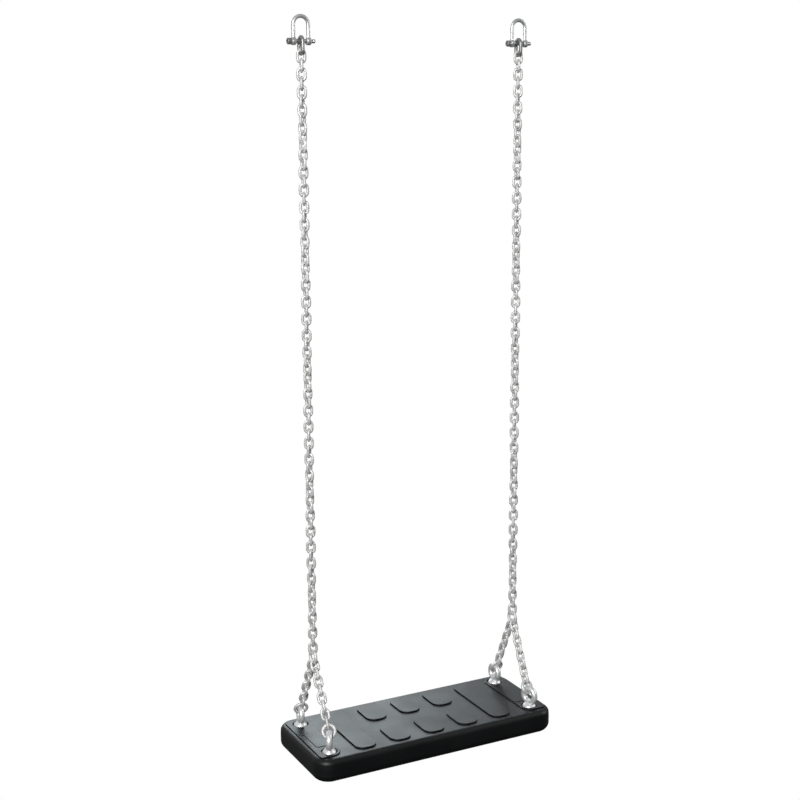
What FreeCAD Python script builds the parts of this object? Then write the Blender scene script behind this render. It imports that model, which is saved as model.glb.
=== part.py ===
import FreeCAD, Part
import math
import os
import re
import Sketcher
from FreeCAD import Placement, Rotation, Vector

# Flat rubber swing seat on two chains.  Each chain hangs from a D-shackle and ends in a
# ring, from which two short branch chains run to eye bolts at the seat's corners.
#
# Frame: +X along the seat, +Y towards its rear edge, +Z up.  The origin is midway between
# the two shackles, level with the inside top of their bows, where the hangers bear.
# Millimetres throughout.

DIMENSIONS = {
    # shackles
    "hanger_spacing": (376.0, "between the two chains"),
    "bow_wire": (6.0, "bow bar diameter"),
    "bow_opening": (18.0, "clear width between the bow's legs"),
    "bow_height": (33.0, "pin axis to the inside top of the bow"),
    "bow_eye": (11.5, "outer diameter of the eyes that hold the pin"),
    "bow_eye_width": (7.0, "length of each eye along the pin"),
    "pin_diameter": (6.0, "shackle pin"),
    "pin_clearance": (0.05, "radial running clearance of the pin in the eyes"),
    "pin_reach": (7.0, "how far the pin stands out of the bow opposite its head"),
    "pin_chamfer": (0.5, "at the pin's plain end"),
    "pin_head": (9.6, "diameter of the round head beside the bow"),
    "pin_head_width": (6.4, "from the bow to the head's end"),
    "pin_head_chamfer": (0.8, "round the head's end"),
    "pin_socket": (4.0, "across the flats of the hexagon socket in the head"),
    "pin_socket_depth": (3.0, "depth of that socket"),
    # links
    "top_wire": (5.6, "wire of the link on the shackle pin"),
    "top_width": (8.4, "clear width inside that link"),
    "top_length": (18.6, "clear length inside that link"),
    "chain_wire": (4.5, "wire of the short-link chain"),
    "chain_width": (6.6, "clear width inside a chain link"),
    "chain_length": (13.14, "clear length inside a chain link"),
    "ring_wire": (5.0, "wire of the junction rings and eye rings"),
    "junction_ring": (22.0, "mean diameter of the ring where a chain divides"),
    "eye_ring": (20.0, "mean diameter of the ring in each eye bolt"),
    "link_gap": (0.1, "between neighbouring links that carry each other"),
    "hang_gap": (0.3, "between links that swing against each other"),
    "junction_rise": (141.0, "junction ring centre above the seat"),
    # eye bolts
    "bolt_spacing": (115.0, "front to rear spacing of the eye bolts"),
    "eye_size": (24.0, "mean diameter of the bolt's eye"),
    "eye_bar": (10.0, "bar diameter of the eye"),
    "eye_rise": (19.5, "eye centre above the seat"),
    "collar_diameter": (23.0, "domed collar under the eye"),
    "collar_height": (3.2, "straight part of the collar"),
    "dome_height": (7.5, "domed part of the collar, hidden inside the eye at its top"),
    "shank_diameter": (8.0, "M8 shank"),
    "shank_chamfer": (0.8, "at the end of the shank"),
    "shank_inset": (1.5, "end of the shank above the underside"),
    "shank_clearance": (0.2, "radial clearance of the shank in the seat"),
    "washer_diameter": (20.0, "washer under the seat"),
    "washer_thickness": (1.6, "washer thickness"),
    "nut_flats": (13.0, "lock nut across flats"),
    "nut_height": (8.0, "lock nut height"),
    # seat
    "seat_length": (440.0, "along X"),
    "seat_width": (180.0, "along Y"),
    "seat_thickness": (40.0, "underside to top face"),
    "corner_radius": (28.0, "corners in plan"),
    "top_round": (9.0, "rounding along the top edge"),
    "bottom_round": (14.0, "rounding along the bottom edge"),
    "pad_height": (2.5, "grip pads above the top face"),
    "pad_width": (37.0, "grip pads along X"),
    "pad_pitch": (63.0, "column to column"),
    "pad_reach": (74.0, "outer end of the pads from the centre line"),
    "pad_inner": (13.0, "inner end of the short pads from the centre line"),
    "pad_round": (15.0, "corner radius of the pads"),
    "boss_radius": (17.5, "raised rim around each eye bolt"),
    "boss_height": (1.8, "rim and end panel above the top face"),
    "recess_diameter": (26.0, "socket that the collar sits in"),
    "recess_depth": (3.0, "below the top face"),
    "panel_outer": (210.0, "outer edge of the end panel from the middle"),
    "panel_round": (6.0, "corner radius of the end panel"),
    "step_outer": (201.0, "outer edge of the raised step on the end panel"),
    "step_inner": (172.0, "inner edge of that step"),
    "step_reach": (38.0, "ends of that step from the centre line"),
    "step_round": (5.0, "corner radius of that step"),
    "counterbore": (27.0, "socket for the washer and nut, in the underside"),
    "counterbore_depth": (13.0, "depth of that socket"),
    "plate_length": (404.0, "reinforcing plate along X"),
    "plate_width": (140.0, "reinforcing plate along Y"),
    "plate_thickness": (3.0, "reinforcing plate"),
    "plate_depth": (18.5, "top of the plate below the top face"),
    "plate_round": (12.0, "corner radius of the plate"),
}

CHAIN_LINKS = 72         # in each long chain
BRANCH_LINKS = 8         # in each branch; an even number, so its last link can hold the ring
# Degrees that the first link is turned from standing along X, and that the chain turns on
# the way down.  Both end links stay within the play of the links they hang on.
CHAIN_START = -10.0
CHAIN_TWIST = -460.0
# Corners of a hexagon: half the corner radius across, half the width across flats up.
HEXAGON = [(2, 0), (1, 1), (-1, 1), (-2, 0), (-1, -1), (1, -1)]

# The collar's dome from its foot up: shares of the collar's radius and of the dome's height.
DOME = [(0.92, 0.3), (0.77, 0.57), (0.62, 0.8), (0.0, 1.0)]
# How far each eye bolt happens to be turned from facing along X, in degrees.
EYE_TURNS = {"front_left": -26.0, "rear_left": -12.0, "front_right": 15.0, "rear_right": 0.0}

doc = FreeCAD.newDocument("swing")
sheet = doc.addObject("Spreadsheet::Sheet", "sizes")
for row, (alias, (size, meaning)) in enumerate(DIMENSIONS.items(), start=1):
    sheet.set(f"A{row}", meaning)
    sheet.set(f"B{row}", str(size))
    sheet.setAlias(f"B{row}", alias)
doc.recompute()
dim = {alias: float(sheet.get(alias)) for alias in DIMENSIONS}

sub_parts = []


# ---------------------------------------------------------------- helpers

def with_sheet_name(text):
    """An expression in sheet cells, as an object outside the sheet has to write it."""
    return re.sub(r"[a-z_]+", lambda word: (
        f"sizes.{word[0]}" if word[0] in DIMENSIONS else word[0]), text)


def bind(thing, **expressions):
    """Tie properties to expressions in sheet cells; __ in a property's name is a dot."""
    for name, text in expressions.items():
        thing.setExpression(name.replace("__", "."), with_sheet_name(text))
    return thing


def keep(thing, node):
    """Name a finished sub-part; its file takes the same name."""
    thing.Label = node
    sub_parts.append(thing)
    return thing


def primitive(kind, name, place=None, **expressions):
    thing = doc.addObject(f"Part::{kind}", name)
    if place is not None:
        thing.Placement = place
    return bind(thing, **expressions)


def fuse(name, pieces):
    thing = doc.addObject("Part::MultiFuse", name)
    thing.Shapes = pieces
    return thing


def cut(name, base, tool):
    thing = doc.addObject("Part::Cut", name)
    thing.Base = base
    thing.Tool = tool
    return thing


def origin_plane(body, role):
    return next(item for item in body.Origin.OriginFeatures if item.Role == role)


def new_sketch(body, name, role="XY_Plane", height=None):
    """A sketch on one of the body's own planes, raised by an expression if one is given."""
    sketch = body.newObject("Sketcher::SketchObject", name)
    sketch.AttachmentSupport = [(origin_plane(body, role), "")]
    sketch.MapMode = "FlatFace"
    if height is not None:
        bind(sketch, AttachmentOffset__Base__z=height)
    return sketch


def add_rounded_rectangle(sketch, x_low, x_high, y_low, y_high, radius):
    """Four sides and four corner arcs; each argument is an expression in sheet cells."""
    left, right, low, high, bend = map(number, (x_low, x_high, y_low, y_high, radius))
    corners = [Vector(right - bend, low + bend, 0), Vector(right - bend, high - bend, 0),
               Vector(left + bend, high - bend, 0), Vector(left + bend, low + bend, 0)]
    first = sketch.GeometryCount
    for turn, corner in enumerate(corners):
        start = math.radians(90 * turn - 90)
        circle = Part.Circle(corner, Vector(0, 0, 1), bend)
        sketch.addGeometry(Part.ArcOfCircle(circle, start, start + math.pi / 2), False)
    for turn, corner in enumerate(corners):
        ahead = corners[(turn + 1) % 4]
        out = Vector(math.cos(math.pi / 2 * turn), math.sin(math.pi / 2 * turn), 0) * bend
        sketch.addGeometry(Part.LineSegment(corner + out, ahead + out), False)
    arcs = [first + turn for turn in range(4)]
    lines = [first + 4 + turn for turn in range(4)]
    for turn in range(4):
        sketch.addConstraint(Sketcher.Constraint("Tangent", arcs[turn], 2, lines[turn], 1))
        sketch.addConstraint(Sketcher.Constraint("Tangent", lines[turn], 2, arcs[(turn + 1) % 4], 1))
        side = "Vertical" if turn % 2 == 0 else "Horizontal"
        sketch.addConstraint(Sketcher.Constraint(side, lines[turn]))
        if turn:
            sketch.addConstraint(Sketcher.Constraint("Equal", arcs[0], arcs[turn]))
    for kind, line, text in (("DistanceX", lines[0], x_high), ("DistanceY", lines[1], y_high),
                             ("DistanceX", lines[2], x_low), ("DistanceY", lines[3], y_low)):
        index = sketch.addConstraint(Sketcher.Constraint(kind, -1, 1, line, 1, number(text)))
        bind(sketch, **{f"Constraints[{index}]": text})
    index = sketch.addConstraint(Sketcher.Constraint("Radius", arcs[0], bend))
    bind(sketch, **{f"Constraints[{index}]": radius})


def number(text):
    """The value of an expression in sheet cells, worked out by a scratch cell."""
    sheet.set("D1", "=" + text)
    sheet.recompute()
    return float(sheet.get("D1"))


def add_circles(sketch, centres, radius):
    """Circles of one radius; centres are pairs of expressions in sheet cells."""
    for x_text, y_text in centres:
        place = Vector(number(x_text), number(y_text), 0)
        size = number(radius)
        index = sketch.addGeometry(Part.Circle(place, Vector(0, 0, 1), size), False)
        for kind, text, value in (("DistanceX", x_text, place.x), ("DistanceY", y_text, place.y)):
            tie = sketch.addConstraint(Sketcher.Constraint(kind, -1, 1, index, 3, value))
            bind(sketch, **{f"Constraints[{tie}]": text})
        tie = sketch.addConstraint(Sketcher.Constraint("Radius", index, size))
        bind(sketch, **{f"Constraints[{tie}]": radius})


def add_outline(sketch, points):
    """A closed outline of straight sides; points are pairs of expressions in sheet cells."""
    places = [Vector(number(x), number(y), 0) for x, y in points]
    for turn, place in enumerate(places):
        sketch.addGeometry(Part.LineSegment(place, places[(turn + 1) % len(places)]), False)
    for turn, (x_text, y_text) in enumerate(points):
        before = (turn - 1) % len(places)
        sketch.addConstraint(Sketcher.Constraint("Coincident", before, 2, turn, 1))
        for kind, text, value in (("DistanceX", x_text, places[turn].x),
                                  ("DistanceY", y_text, places[turn].y)):
            tie = sketch.addConstraint(Sketcher.Constraint(kind, -1, 1, turn, 1, value))
            bind(sketch, **{f"Constraints[{tie}]": text})


def pad(body, sketch, name, length):
    feature = body.newObject("PartDesign::Pad", name)
    feature.Profile = sketch
    return bind(feature, Length=length)


def pocket(body, sketch, name, depth):
    """Cut a sketch into the body, and make sure that it really removed something."""
    doc.recompute()
    before = body.Shape.Volume
    feature = body.newObject("PartDesign::Pocket", name)
    feature.Profile = sketch
    bind(feature, Length=depth)
    doc.recompute()
    if not body.Shape.Volume < before - 1.0:
        raise RuntimeError(f"{name} cuts nothing")
    return feature


def round_edges(body, name, radius, wanted):
    """Fillet the edges of the body's last feature that a test picks."""
    doc.recompute()
    base = body.Tip
    edges = [f"Edge{number}" for number, edge in enumerate(base.Shape.Edges, start=1) if wanted(edge)]
    feature = body.newObject("PartDesign::Fillet", name)
    feature.Base = (base, edges)
    bind(feature, Radius=radius)
    doc.recompute()
    return feature


# ---------------------------------------------------------------- rings and links

ON_EDGE = Rotation(Vector(1, 0, 0), 90)           # stands a flat ring up, facing along Y
UPSIDE_DOWN = Rotation(Vector(1, 0, 0), -90)


def oval_link(name, wire, width, length):
    """A round-wire link, standing up, centred on the origin and facing along Y."""
    bend = f"( {width} + {wire} ) / 2"
    lift = f"( {length} - {width} ) / 2"
    crowns = []
    for end, turn, sign in (("top", ON_EDGE, ""), ("bottom", UPSIDE_DOWN, "-1 * ")):
        crown = primitive("Torus", f"{name}_{end}", Placement(Vector(), turn),
                          Radius1=bend, Radius2=f"{wire} / 2", Placement__Base__z=sign + lift)
        crown.Angle3 = 180
        crowns.append(crown)
    sides = [primitive("Cylinder", f"{name}_{side}", None, Radius=f"{wire} / 2",
                       Height=f"{length} - {width}", Placement__Base__x=sign + bend,
                       Placement__Base__z="-1 * " + lift)
             for side, sign in (("left", "-1 * "), ("right", ""))]
    return fuse(name, crowns + sides)


def copies(name, pattern, places):
    """Many copies of one shape as a group of separate solids."""
    doc.recompute()
    solid = pattern.Shape.copy()
    solid.Placement = Placement()
    solids = []
    for place in places:
        one = solid.copy()
        one.transformShape(place.toMatrix(), False)
        solids.append(one)
    thing = doc.addObject("Part::Feature", name)
    thing.Shape = Part.makeCompound(solids)
    return thing


def hang(along, across):
    """Rotation that lays a link's length along one direction and its width across it."""
    down = Vector(along).normalize()
    side = Vector(across).normalize()
    return Rotation(side, Vector(), down.negative(), "ZXY")


# ---------------------------------------------------------------- heights

half_spacing = dim["hanger_spacing"] / 2
pin_level = -dim["bow_height"]
top_link_high = pin_level + (dim["pin_diameter"] + dim["top_wire"]) / 2 + dim["hang_gap"]
top_link_low = top_link_high - dim["top_length"] - dim["top_wire"]
chain_high = top_link_low + (dim["top_wire"] + dim["chain_wire"]) / 2 + dim["hang_gap"]
chain_step = dim["chain_length"] - dim["link_gap"]
link_span = dim["chain_length"] + dim["chain_wire"]
chain_low = chain_high - (CHAIN_LINKS - 1) * chain_step - link_span
ring_high = chain_low + (dim["chain_wire"] + dim["ring_wire"]) / 2 + dim["hang_gap"]
ring_level = ring_high - dim["junction_ring"] / 2
seat_top = ring_level - dim["junction_rise"]
SIDES = {"left": -half_spacing, "right": half_spacing}
ROWS = {"front": -dim["bolt_spacing"] / 2, "rear": dim["bolt_spacing"] / 2}


# ---------------------------------------------------------------- shackles

def shackle_bow(side, x):
    """A bent bar with an eye on each leg; the eyes hold the pin."""
    bend = "( bow_opening + bow_wire ) / 2"
    crown = primitive("Torus", f"{side}_bow_crown", Placement(Vector(), ON_EDGE), Radius1=bend,
                      Radius2="bow_wire / 2", Placement__Base__z="bow_height - bow_opening / 2")
    crown.Angle3 = 180
    pieces = [crown]
    bores = []
    for end, sign in (("left", "-1 * "), ("right", "")):
        pieces.append(primitive("Cylinder", f"{side}_bow_{end}_leg", None, Radius="bow_wire / 2",
                                Height="bow_height - bow_opening / 2",
                                Placement__Base__x=sign + bend))
        turned = Placement(Vector(), Rotation(Vector(0, 1, 0), 90))
        start = f"{sign}{bend} - bow_eye_width / 2"
        pieces.append(primitive("Cylinder", f"{side}_bow_{end}_eye", turned, Radius="bow_eye / 2",
                                Height="bow_eye_width", Placement__Base__x=start))
    bore = primitive("Cylinder", f"{side}_bow_bore", Placement(Vector(), Rotation(Vector(0, 1, 0), 90)),
                     Radius="pin_diameter / 2 + pin_clearance", Height="4 * bow_opening",
                     Placement__Base__x="-2 * bow_opening")
    bow = cut(f"{side}_bow", fuse(f"{side}_bow_solid", pieces), bore)
    bow.Placement = Placement(Vector(x, 0, pin_level), Rotation())
    return keep(bow, f"{side}_shackle_bow")


def shackle_pin(side, x):
    """A pin with a round head at one end, which a hexagon key turns."""
    body = doc.addObject("PartDesign::Body", f"{side}_pin")
    outside = "( bow_opening + bow_wire + bow_eye_width ) / 2"
    profile = new_sketch(body, f"{side}_pin_profile", "XZ_Plane")
    end = f"{outside} + pin_reach"
    head = f"-1 * ( {outside} + pin_head_width )"
    add_outline(profile, [
        (head, "0"), (head, "pin_head / 2 - pin_head_chamfer"),
        (f"{head} + pin_head_chamfer", "pin_head / 2"),
        (f"-1 * ( {outside} ) - link_gap", "pin_head / 2"),
        (f"-1 * ( {outside} ) - link_gap", "pin_diameter / 2"),
        (f"{end} - pin_chamfer", "pin_diameter / 2"), (end, "pin_diameter / 2 - pin_chamfer"),
        (end, "0")])
    shaft = body.newObject("PartDesign::Revolution", f"{side}_pin_shaft")
    shaft.Profile = profile
    shaft.ReferenceAxis = (profile, ["H_Axis"])
    socket = new_sketch(body, f"{side}_pin_socket_sketch", "YZ_Plane", f"{head} + pin_socket_depth")
    add_outline(socket, [(f"{across} * pin_socket / ( 2 * sqrt(3) )", f"{up} * pin_socket / 2")
                         for across, up in HEXAGON])
    pocket(body, socket, f"{side}_pin_socket", "pin_socket_depth")
    body.Placement = Placement(Vector(x, 0, pin_level), Rotation())
    return keep(body, f"{side}_shackle_pin")


# ---------------------------------------------------------------- chains

chain_link = oval_link("chain_link", "chain_wire", "chain_width", "chain_length")


def top_link(side, x):
    link = oval_link(f"{side}_top", "top_wire", "top_width", "top_length")
    middle = (top_link_high + top_link_low) / 2
    link.Placement = Placement(Vector(x, 0, middle), Rotation(Vector(0, 0, 1), 90))
    return keep(link, f"{side}_top_link")


def main_chain(side, x):
    """The long chain: each link is turned a quarter and a little more from the one above."""
    places = []
    for number in range(CHAIN_LINKS):
        turn = CHAIN_START + number * (90 + CHAIN_TWIST / (CHAIN_LINKS - 1))
        level = chain_high - number * chain_step - link_span / 2
        places.append(Placement(Vector(x, 0, level), Rotation(Vector(0, 0, 1), turn)))
    return keep(copies(f"{side}_chain", chain_link, places), f"{side}_main_chain")


def ring(node, size, place):
    thing = primitive("Torus", node + "_torus", place, Radius1=f"{size} / 2", Radius2="ring_wire / 2")
    return keep(thing, node)


def hook_point(eye, turn, pull):
    """Middle of the eye's bar where a straight pull settles, and the bar's direction there."""
    level = Vector(-math.sin(turn), math.cos(turn), 0)
    back = pull.negative()
    inside = level * back.dot(level) + Vector(0, 0, back.z)
    inside.normalize()
    return eye + inside * (dim["eye_size"] / 2), Vector(math.cos(turn), math.sin(turn), 0).cross(inside)


def lay_branch(junction, eye, turn):
    """Direction, free play per joint and last ring of a branch pulled straight."""
    play = dim["link_gap"]
    pull = (eye - junction).normalize()
    first = dim["junction_ring"] / 2 - (dim["ring_wire"] + dim["chain_wire"]) / 2 - dim["hang_gap"]
    crossing = (dim["chain_wire"] + dim["ring_wire"]) / 2
    rigid = first + BRANCH_LINKS * dim["chain_length"] + dim["chain_wire"] - crossing + dim["eye_ring"]
    for _ in range(60):
        bar, along = hook_point(eye, turn, pull)
        under = bar + pull * ((dim["eye_bar"] + dim["ring_wire"]) / 2 + play)
        play = (rigid - (under - junction).Length) / BRANCH_LINKS
        pull = (under - junction).normalize()
    return pull, play, first, under, along


def branch(corner, row, side):
    """Eight links and a ring, from a junction ring to an eye bolt."""
    x, y = SIDES[side], ROWS[row]
    junction = Vector(x, 0, ring_level)
    eye = Vector(x, y, seat_top + dim["eye_rise"])
    pull, play, first, under, along = lay_branch(junction, eye, math.radians(EYE_TURNS[corner]))
    print(f"{corner}: play {play:.3f} mm, pull {pull.x:.4f} {pull.y:.4f} {pull.z:.4f}")
    if not 0.03 < play < 0.6:
        raise RuntimeError(f"{corner} branch does not fit")
    start_side = (Vector(1, 0, 0) - pull * pull.x).normalize()
    end_side = pull.cross(along).normalize()
    if end_side.dot(start_side) < 0:
        end_side = end_side.negative()
    twist = math.degrees(math.atan2(start_side.cross(end_side).dot(pull), start_side.dot(end_side)))
    places = []
    for number in range(BRANCH_LINKS):
        angle = 90 * number + twist * (number + 1) / (BRANCH_LINKS + 1)
        side_way = Rotation(pull, angle).multVec(start_side)
        middle = first + number * (dim["chain_length"] - play) + link_span / 2
        places.append(Placement(junction + pull * middle, hang(pull, side_way)))
    keep(copies(f"{corner}_chain", chain_link, places), f"{corner}_branch_chain")
    centre = under - pull * (dim["eye_ring"] / 2)
    facing = Rotation(Vector(0, 0, 1), pull.cross(end_side))
    ring(f"{corner}_eye_ring", "eye_ring", Placement(centre, facing))


# ---------------------------------------------------------------- eye bolts

def eye_bolt(corner, row, side):
    """Forged eye, domed collar and shank; its own origin is the middle of the eye."""
    body = doc.addObject("PartDesign::Body", f"{corner}_bolt")
    loop_sketch = new_sketch(body, f"{corner}_loop_sketch", "XZ_Plane")
    add_circles(loop_sketch, [("0", "eye_size / 2")], "eye_bar / 2")
    loop = body.newObject("PartDesign::Revolution", f"{corner}_loop")
    loop.Profile = loop_sketch
    loop.ReferenceAxis = (loop_sketch, ["H_Axis"])
    floor = "-1 * ( eye_rise + recess_depth )"
    foot = "-1 * ( eye_rise + seat_thickness ) + shank_inset"
    profile = new_sketch(body, f"{corner}_shank_sketch", "XZ_Plane")
    outline = [("0", foot), ("shank_diameter / 2 - shank_chamfer", foot),
               ("shank_diameter / 2", f"{foot} + shank_chamfer"),
               ("shank_diameter / 2", floor), ("collar_diameter / 2", floor),
               ("collar_diameter / 2", f"{floor} + collar_height")]
    outline += [(f"{out} * collar_diameter / 2", f"{floor} + collar_height + {up} * dome_height")
                for out, up in DOME]
    add_outline(profile, outline)
    shank = body.newObject("PartDesign::Revolution", f"{corner}_shank")
    shank.Profile = profile
    shank.ReferenceAxis = (profile, ["V_Axis"])
    body.Placement = Placement(Vector(SIDES[side], ROWS[row], seat_top + dim["eye_rise"]),
                               Rotation(Vector(0, 0, 1), EYE_TURNS[corner]))
    return keep(body, f"{corner}_eye_bolt")


def fasteners():
    """Washers and lock nuts in the sockets under the seat."""
    washer = cut("washer", primitive("Cylinder", "washer_disc", None, Radius="washer_diameter / 2",
                                     Height="washer_thickness"),
                 primitive("Cylinder", "washer_hole", None,
                           Radius="shank_diameter / 2 + shank_clearance", Height="washer_thickness"))
    blank = primitive("Prism", "nut_blank", None, Height="nut_height",
                      Circumradius="nut_flats / sqrt(3)")
    blank.Polygon = 6
    nut = cut("nut", blank, primitive("Cylinder", "nut_thread", None,
                                      Radius="shank_diameter / 2 + pin_clearance",
                                      Height="nut_height"))
    ceiling = seat_top - dim["seat_thickness"] + dim["counterbore_depth"]
    for name, pattern, drop in (("eye_bolt_washers", washer, dim["washer_thickness"]),
                                ("eye_bolt_nuts", nut, dim["washer_thickness"] + dim["nut_height"])):
        places = [Placement(Vector(x, y, ceiling - drop), Rotation())
                  for x in SIDES.values() for y in ROWS.values()]
        keep(copies(name + "_group", pattern, places), name)


# ---------------------------------------------------------------- seat

BOLT_CENTRES = [(f"{x} * hanger_spacing / 2", f"{y} * bolt_spacing / 2")
                for x in ("-1", "1") for y in ("-1", "1")]


def seat_plate():
    """The flat metal plate that the rubber is moulded around."""
    body = doc.addObject("PartDesign::Body", "plate")
    body.Placement = Placement(Vector(0, 0, seat_top), Rotation())
    outline = new_sketch(body, "plate_outline", "XY_Plane", "-1 * ( plate_depth + plate_thickness )")
    add_rounded_rectangle(outline, "-1 * plate_length / 2", "plate_length / 2",
                          "-1 * plate_width / 2", "plate_width / 2", "plate_round")
    pad(body, outline, "plate_blank", "plate_thickness")
    holes = new_sketch(body, "plate_holes_sketch", "XY_Plane", "-1 * plate_depth")
    add_circles(holes, BOLT_CENTRES, "shank_diameter / 2 + shank_clearance")
    pocket(body, holes, "plate_holes", "plate_thickness")
    return keep(body, "seat_reinforcing_plate")


def seat_rubber(plate):
    """Rounded slab with grip pads, end panels, rims, sockets and bolt holes."""
    body = doc.addObject("PartDesign::Body", "slab")
    body.Placement = Placement(Vector(0, 0, seat_top), Rotation())
    outline = new_sketch(body, "slab_outline", "XY_Plane", "-1 * seat_thickness")
    add_rounded_rectangle(outline, "-1 * seat_length / 2", "seat_length / 2",
                          "-1 * seat_width / 2", "seat_width / 2", "corner_radius")
    pad(body, outline, "slab_block", "seat_thickness")
    for name, radius, level in (("slab_top_round", "top_round", 0.0),
                                ("slab_bottom_round", "bottom_round", -dim["seat_thickness"])):
        round_edges(body, name, radius, lambda edge: all(
            abs(vertex.Z - level) < 0.01 for vertex in edge.Vertexes))

    # grip pads: two long ones at the sides, and two rows of three between them
    # (each sketch starts a little below the surface, so that the pads join the slab)
    below = "-1 * pad_height"
    for name, column in (("left_long_pad", "-2"), ("right_long_pad", "2")):
        middle = f"{column} * pad_pitch"
        sketch = new_sketch(body, name + "_sketch", "XY_Plane", below)
        add_rounded_rectangle(sketch, f"{middle} - pad_width / 2", f"{middle} + pad_width / 2",
                              "-1 * pad_reach", "pad_reach", "pad_round")
        pad(body, sketch, name, "2 * pad_height")
    for name, low, high in (("front_pads", "-1 * pad_reach", "-1 * pad_inner"),
                            ("rear_pads", "pad_inner", "pad_reach")):
        sketch = new_sketch(body, name + "_sketch", "XY_Plane", below)
        for column in ("-1", "0", "1"):
            middle = f"{column} * pad_pitch"
            add_rounded_rectangle(sketch, f"{middle} - pad_width / 2", f"{middle} + pad_width / 2",
                                  low, high, "pad_round")
        pad(body, sketch, name, "2 * pad_height")

    # end panels between the bolts, a step on each, and a raised rim around each bolt
    inner = "( hanger_spacing / 2 - boss_radius )"
    reach = "( bolt_spacing / 2 + boss_radius )"
    for name, sign in (("left_panel", "-1"), ("right_panel", "1")):
        ends = [f"{sign} * {inner}", f"{sign} * panel_outer"]
        if sign == "-1":
            ends.reverse()
        low_reach, high_reach = "-1 * bolt_spacing / 2", "bolt_spacing / 2"
        sketch = new_sketch(body, name + "_sketch", "XY_Plane", "-1 * boss_height")
        add_rounded_rectangle(sketch, *ends, low_reach, high_reach, "panel_round")
        pad(body, sketch, name, "2 * boss_height")
        ends = [f"{sign} * hanger_spacing / 2", f"{sign} * panel_outer"]
        if sign == "-1":
            ends.reverse()
        sketch = new_sketch(body, name + "_edge_sketch", "XY_Plane", "-1 * boss_height")
        add_rounded_rectangle(sketch, *ends, f"-1 * {reach}", reach, "panel_round")
        pad(body, sketch, name + "_edge", "2 * boss_height")
        ends = [f"{sign} * step_inner", f"{sign} * step_outer"]
        if sign == "-1":
            ends.reverse()
        sketch = new_sketch(body, name + "_step_sketch", "XY_Plane", below)
        add_rounded_rectangle(sketch, *ends, "-1 * step_reach", "step_reach", "step_round")
        pad(body, sketch, name + "_step", "2 * pad_height")
    rims = new_sketch(body, "rims_sketch", "XY_Plane", "-1 * boss_height")
    add_circles(rims, BOLT_CENTRES, "boss_radius")
    pad(body, rims, "rims", "2 * boss_height")

    sockets = new_sketch(body, "sockets_sketch", "XY_Plane", "boss_height")
    add_circles(sockets, BOLT_CENTRES, "recess_diameter / 2")
    pocket(body, sockets, "sockets", "boss_height + recess_depth")
    bores = new_sketch(body, "bores_sketch", "XY_Plane", "boss_height")
    add_circles(bores, BOLT_CENTRES, "shank_diameter / 2 + shank_clearance")
    pocket(body, bores, "bores", "2 * seat_thickness")
    nut_sockets = new_sketch(body, "nut_sockets_sketch", "XY_Plane",
                             "-1 * seat_thickness + counterbore_depth")
    add_circles(nut_sockets, BOLT_CENTRES, "counterbore / 2")
    pocket(body, nut_sockets, "nut_sockets", "2 * counterbore_depth")

    return keep(cut("rubber", body, plate), "seat_body")


# ---------------------------------------------------------------- assembly

for side, x in SIDES.items():
    shackle_bow(side, x)
    shackle_pin(side, x)
    top_link(side, x)
    main_chain(side, x)
    facing_along_x = Rotation(Vector(0, 1, 0), 90)
    ring(f"{side}_junction_ring", "junction_ring", Placement(Vector(x, 0, ring_level), facing_along_x))
    for row in ROWS:
        branch(f"{row}_{side}", row, side)
        eye_bolt(f"{row}_{side}", row, side)
fasteners()
seat_rubber(seat_plate())
doc.recompute()


# ---------------------------------------------------------------- checks and files

for thing in doc.Objects:
    if "Invalid" in thing.State or "Error" in thing.State:
        raise RuntimeError(f"{thing.Name} failed: {thing.State}")
for thing in sub_parts:
    if thing.Shape.isNull() or not thing.Shape.isValid():
        raise RuntimeError(f"{thing.Label} has no valid shape")

os.makedirs("parts", exist_ok=True)
for thing in sub_parts:
    thing.Shape.exportStep(f"parts/{thing.Label}.step")
    print(f"{thing.Label}: {len(thing.Shape.Solids)} solid(s), {thing.Shape.Volume:.1f} mm3")
print(f"pin level {pin_level:.2f}, top link {top_link_high:.2f} to {top_link_low:.2f}, "
      f"chain {chain_high:.2f} to {chain_low:.2f}, ring {ring_level:.2f}, seat top {seat_top:.2f}")
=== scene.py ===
import math

import bmesh
import bpy
import numpy as np
from mathutils import Matrix, Vector


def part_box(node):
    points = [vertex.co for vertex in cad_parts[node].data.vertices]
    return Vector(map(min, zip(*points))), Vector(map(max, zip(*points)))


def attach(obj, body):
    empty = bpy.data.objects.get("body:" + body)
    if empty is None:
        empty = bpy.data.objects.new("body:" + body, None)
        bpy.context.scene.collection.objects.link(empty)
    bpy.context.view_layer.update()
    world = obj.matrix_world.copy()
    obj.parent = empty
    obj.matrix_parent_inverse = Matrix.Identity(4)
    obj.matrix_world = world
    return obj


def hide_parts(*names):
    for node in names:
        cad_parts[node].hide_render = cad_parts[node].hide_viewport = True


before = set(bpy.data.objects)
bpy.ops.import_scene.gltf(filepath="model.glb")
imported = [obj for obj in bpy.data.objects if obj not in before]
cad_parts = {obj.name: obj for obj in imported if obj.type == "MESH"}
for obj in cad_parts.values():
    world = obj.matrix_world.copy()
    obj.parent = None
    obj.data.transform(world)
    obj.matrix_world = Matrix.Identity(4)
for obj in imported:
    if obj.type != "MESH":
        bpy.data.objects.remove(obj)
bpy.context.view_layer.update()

# A flat rubber swing seat on two forked chains.  Metres throughout, in the row frame:
# +X along the seat, +Y towards its rear edge, +Z up, origin between the two hangers.

MM = 0.001

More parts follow.
